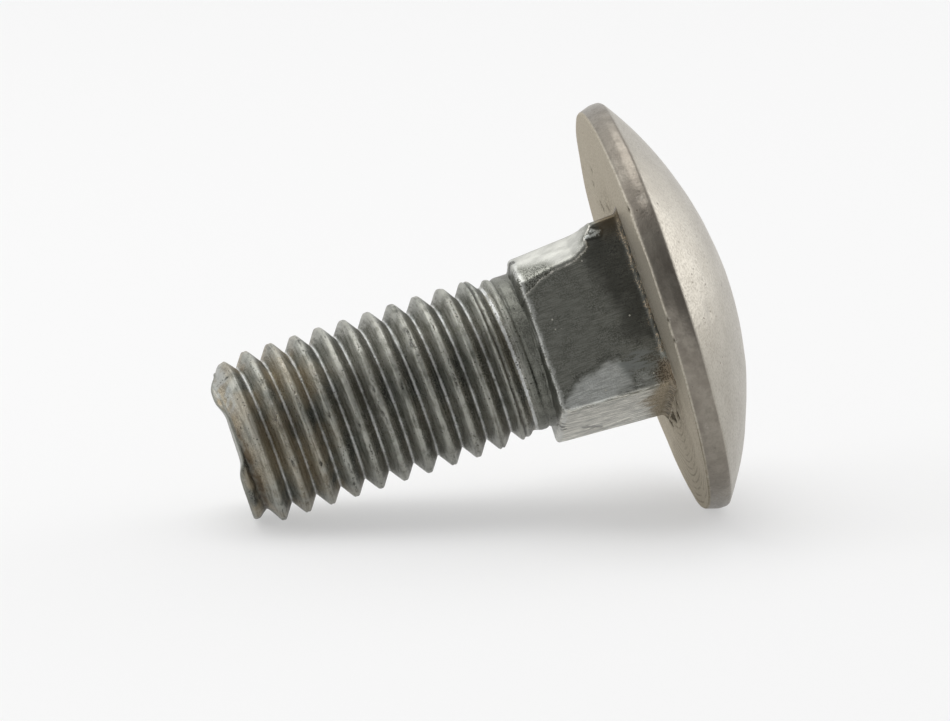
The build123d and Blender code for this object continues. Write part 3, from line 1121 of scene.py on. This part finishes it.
def neck_steel():
    """The square neck, with light flecks and dark nicks."""
    paint = Paint("neck_steel", mottle_size=1.1)
    grain = paint.noise(0.06, 2.0, (1, 1, 14))
    rubbed_steel, below = neck_faces(paint, grain)
    neck_patch(paint, rubbed_steel)
    bright = neck_flap(paint)
    soiled = neck_ends(paint, below)
    paint.coat(FLECK, paint.specks(0.8, 0.1), span(paint.noise(1.7), 0.5, 0.56))
    nicks = span(paint.read("hollow"), 0.03, 0.07)
    paint.coat(BLACK_MARKS_AND_SHADE, nicks, span(paint.fine, 0.4, 0.55, 0.4, 0.9))
    link(paint.inputs["Specular Tint"], mix(soiled, WHITE, TAN_SCALE))
    metallic = span(soiled, 0.0, 0.85, 0.88, 0.3)
    height = plus(times(grain, 0.5), times(paint.fine, 0.6))
    roughness = span(paint.fine, 0.3, 0.7, 0.34, 0.5)
    roughness = plus(roughness, times(bright, 0.12), times(soiled, 0.3))
    return paint.finish(metallic, roughness, height)


# Colours of the head, from its dome to its underside
DOME_STEEL = [(0.36, 0.332, 0.282), (0.42, 0.392, 0.338)]
DOME_SPECK = (0.25, 0.228, 0.195)
RIM_STEEL = (0.2, 0.178, 0.15)
RIM_BRUISE = (0.12, 0.105, 0.085)
UNDERSIDE_STEEL = [(0.5, 0.465, 0.395), (0.41, 0.375, 0.31)]
TURNED_RING = (0.15, 0.122, 0.085)
HEAD_PIT = (0.13, 0.11, 0.085)
DEEP_PIT = (0.04, 0.032, 0.022)
SCUFFED_STEEL = (0.62, 0.59, 0.53)
UNDERSIDE_GLARE = (0.6, 0.53, 0.42)

# Where the head's looks change: heights counted down from the flat, and distances from the axis
UNDERSIDE_START = (-0.2, -0.05)
RIM_TOP = (-1.62, -1.5)
NECK_SHADE_RING = (7.2, 10.0)
RING_RADIANS_PER_MM = 13.0


def head_rings(paint, under):
    """Turning rings on the lower part of the underside."""
    wavy = plus(times(paint.read("radius"), RING_RADIANS_PER_MM), times(paint.noise(2.5), 2.5))
    rings = times(span(calc("SINE", wavy), 0.3, 1.0), under)
    rings = times(rings, span(paint.noise(2.0), 0.4, 0.55))
    return times(rings, span(paint.read("up"), -4.0, 1.0, 1.0, 0.15))


def head_steel():
    """Warm mottled steel, with a darker rim, turning rings and pits underneath, and painted shade
    underneath round the neck.
    """
    paint = Paint("head_steel", mottle_size=2.4, fine_size=0.16, fine_detail=3.0, grit_span=(0.3, 0.7))
    paint.colour = mix(span(paint.mottle, 0.25, 0.75), *DOME_STEEL)
    paint.coat(DOME_SPECK, span(paint.fine, 0.46, 0.66, 0.0, 0.35))
    under = span(paint.from_head, *UNDERSIDE_START)
    rim = times(fall(paint.from_head, *UNDERSIDE_START), span(paint.from_head, *RIM_TOP))
    paint.coat(RIM_STEEL, rim, span(paint.noise(1.3), 0.35, 0.65, 0.6, 0.9))
    paint.coat(RIM_BRUISE, rim, span(paint.noise(0.7), 0.5, 0.68), 0.25)
    paint.coat(mix(span(paint.fine, 0.4, 0.62), *UNDERSIDE_STEEL), under)
    rings = head_rings(paint, under)
    paint.coat(TURNED_RING, rings, 0.55)
    # Painted shade on the underside round the neck, laid on as brown blotches
    shade_blotches = span(paint.ragged(paint.noise(0.6), 0.2), 0.46, 0.62)
    paint.coat(BROWN_STAIN_AND_SHADE, under, fall(paint.read("radius"), *NECK_SHADE_RING), shade_blotches, 0.45)
    pits = times(paint.specks(0.5, 0.2), span(paint.noise(1.6), 0.53, 0.64))
    paint.coat(HEAD_PIT, pits, 0.7)
    hollow = span(paint.read("hollow"), 0.03, 0.09)
    paint.coat(DEEP_PIT, hollow, under, 0.92)
    bare = times(hollow, span(under, 0.0, 1.0, 0.4, 0.0))
    paint.coat(SCUFFED_STEEL, bare, span(paint.fine, 0.42, 0.58))
    link(paint.inputs["Specular Tint"], mix(under, WHITE, UNDERSIDE_GLARE))
    metallic = span(under, 0.0, 1.0, 0.92, 0.7)
    height = plus(paint.fine, paint.noise(0.6), times(pits, -0.8), times(rings, -0.7))
    roughness = plus(span(paint.fine, 0.3, 0.7, 0.3, 0.42), times(under, 0.15))
    return paint.finish(metallic, roughness, height)


FLOOR_SIZE = 6.0
FLOOR_COLOUR = (0.86, 0.86, 0.86, 1)
FLOOR_ROUGHNESS = 0.9
FLOOR_WHITE = 0.93
WHITE_SHARE = 0.5


def make_floor():
    """A pale floor, half of whose look is its own even white, so that the shadow stays soft."""
    bpy.ops.mesh.primitive_plane_add(size=FLOOR_SIZE)
    floor = bpy.context.object
    floor.name = "floor"
    material = bpy.data.materials.new("pale_floor")
    material.use_nodes = True
    tree = material.node_tree
    matt = tree.nodes["Principled BSDF"]
    link(matt.inputs["Base Color"], FLOOR_COLOUR)
    link(matt.inputs["Roughness"], FLOOR_ROUGHNESS)
    white = add_node(tree, "ShaderNodeEmission", {"Strength": FLOOR_WHITE})
    rays = add_node(tree, "ShaderNodeLightPath", {}).outputs
    straight = calc("MAXIMUM", rays["Is Camera Ray"], rays["Is Glossy Ray"])
    share = times(calc("MAXIMUM", straight, rays["Is Transmission Ray"]), WHITE_SHARE)
    both = add_node(tree, "ShaderNodeMixShader", {0: share, 1: matt.outputs[0], 2: white.outputs[0]})
    link(tree.nodes["Material Output"].inputs["Surface"], both.outputs[0])
    floor.data.materials.append(material)


# Softboxes that face the origin, as (name, place, width, height, watts), in metres
SOFTBOXES = [
    ("top_softbox", (-0.08, 0.08, 0.45), 0.4, 0.3, 0.85),
    ("left_softbox", (-0.4, 0.0, 0.2), 0.25, 0.25, 0.3),
    ("right_softbox", (0.42, 0.2, 0.16), 0.3, 0.25, 0.35),
]

# The surroundings brighten from the camera's side to the far side
SKY_SPAN = (-0.8, 0.5)
SKY_STRENGTHS = (0.22, 1.0)


def add_softbox(name, place, width, height, watts):
    lamp = bpy.data.lights.new(name, "AREA")
    lamp.shape = "RECTANGLE"
    lamp.size = width
    lamp.size_y = height
    lamp.energy = watts
    holder = bpy.data.objects.new(name, lamp)
    holder.location = place
    holder.rotation_euler = (-Vector(place)).to_track_quat("-Z", "Y").to_euler()
    bpy.context.scene.collection.objects.link(holder)


def light_scene():
    """A studio that is dim on the camera's side and bright behind, with three softboxes."""
    world = bpy.data.worlds.new("studio")
    bpy.context.scene.world = world
    world.use_nodes = True
    tree = world.node_tree
    sky = tree.nodes["Background"]
    direction = add_node(tree, "ShaderNodeTexCoord", {}).outputs["Generated"]
    away = add_node(tree, "ShaderNodeSeparateXYZ", {0: direction}).outputs["Y"]
    link(sky.inputs["Color"], (*WHITE, 1))
    link(sky.inputs["Strength"], span(away, *SKY_SPAN, *SKY_STRENGTHS))
    for softbox in SOFTBOXES:
        add_softbox(*softbox)


# The camera, at the photograph's viewing angle, in a 950 by 721 picture
PICTURE_WIDTH = 950
PICTURE_HEIGHT = 721
PIXELS_PER_MM = 14.602
AXIS_PIXEL = (642.1, 313.73)
CAMERA_AZIMUTH = math.radians(-8.85)
CAMERA_ELEVATION = math.radians(12.35)
LENS = 400.0
SENSOR_WIDTH = 36.0


def add_camera():
    level, rise = math.cos(CAMERA_ELEVATION), math.sin(CAMERA_ELEVATION)
    back = Vector(polar(level, CAMERA_AZIMUTH - QUARTER, rise))
    facing = (-back).to_track_quat("-Z", "Y")
    sideways = PICTURE_WIDTH / 2 - AXIS_PIXEL[0]
    upwards = AXIS_PIXEL[1] - PICTURE_HEIGHT / 2
    distance = PICTURE_WIDTH * LENS / SENSOR_WIDTH
    offset = facing @ Vector((sideways, upwards, distance)) * (MM / PIXELS_PER_MM)
    camera = bpy.data.objects.new("camera", bpy.data.cameras.new("camera"))
    camera.data.lens = LENS
    camera.data.sensor_width = SENSOR_WIDTH
    camera.location = bolt_frame().translation + offset
    camera.rotation_mode = "QUATERNION"
    camera.rotation_quaternion = facing
    bpy.context.scene.collection.objects.link(camera)
    bpy.context.scene.camera = camera


bolt = make_bolt()
for make_finish in (head_steel, neck_steel, thread_steel):
    bolt.data.materials.append(make_finish())
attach(bolt, "root")
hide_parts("bolt")
make_floor()
light_scene()
add_camera()
bpy.context.scene.view_settings.view_transform = "Standard"
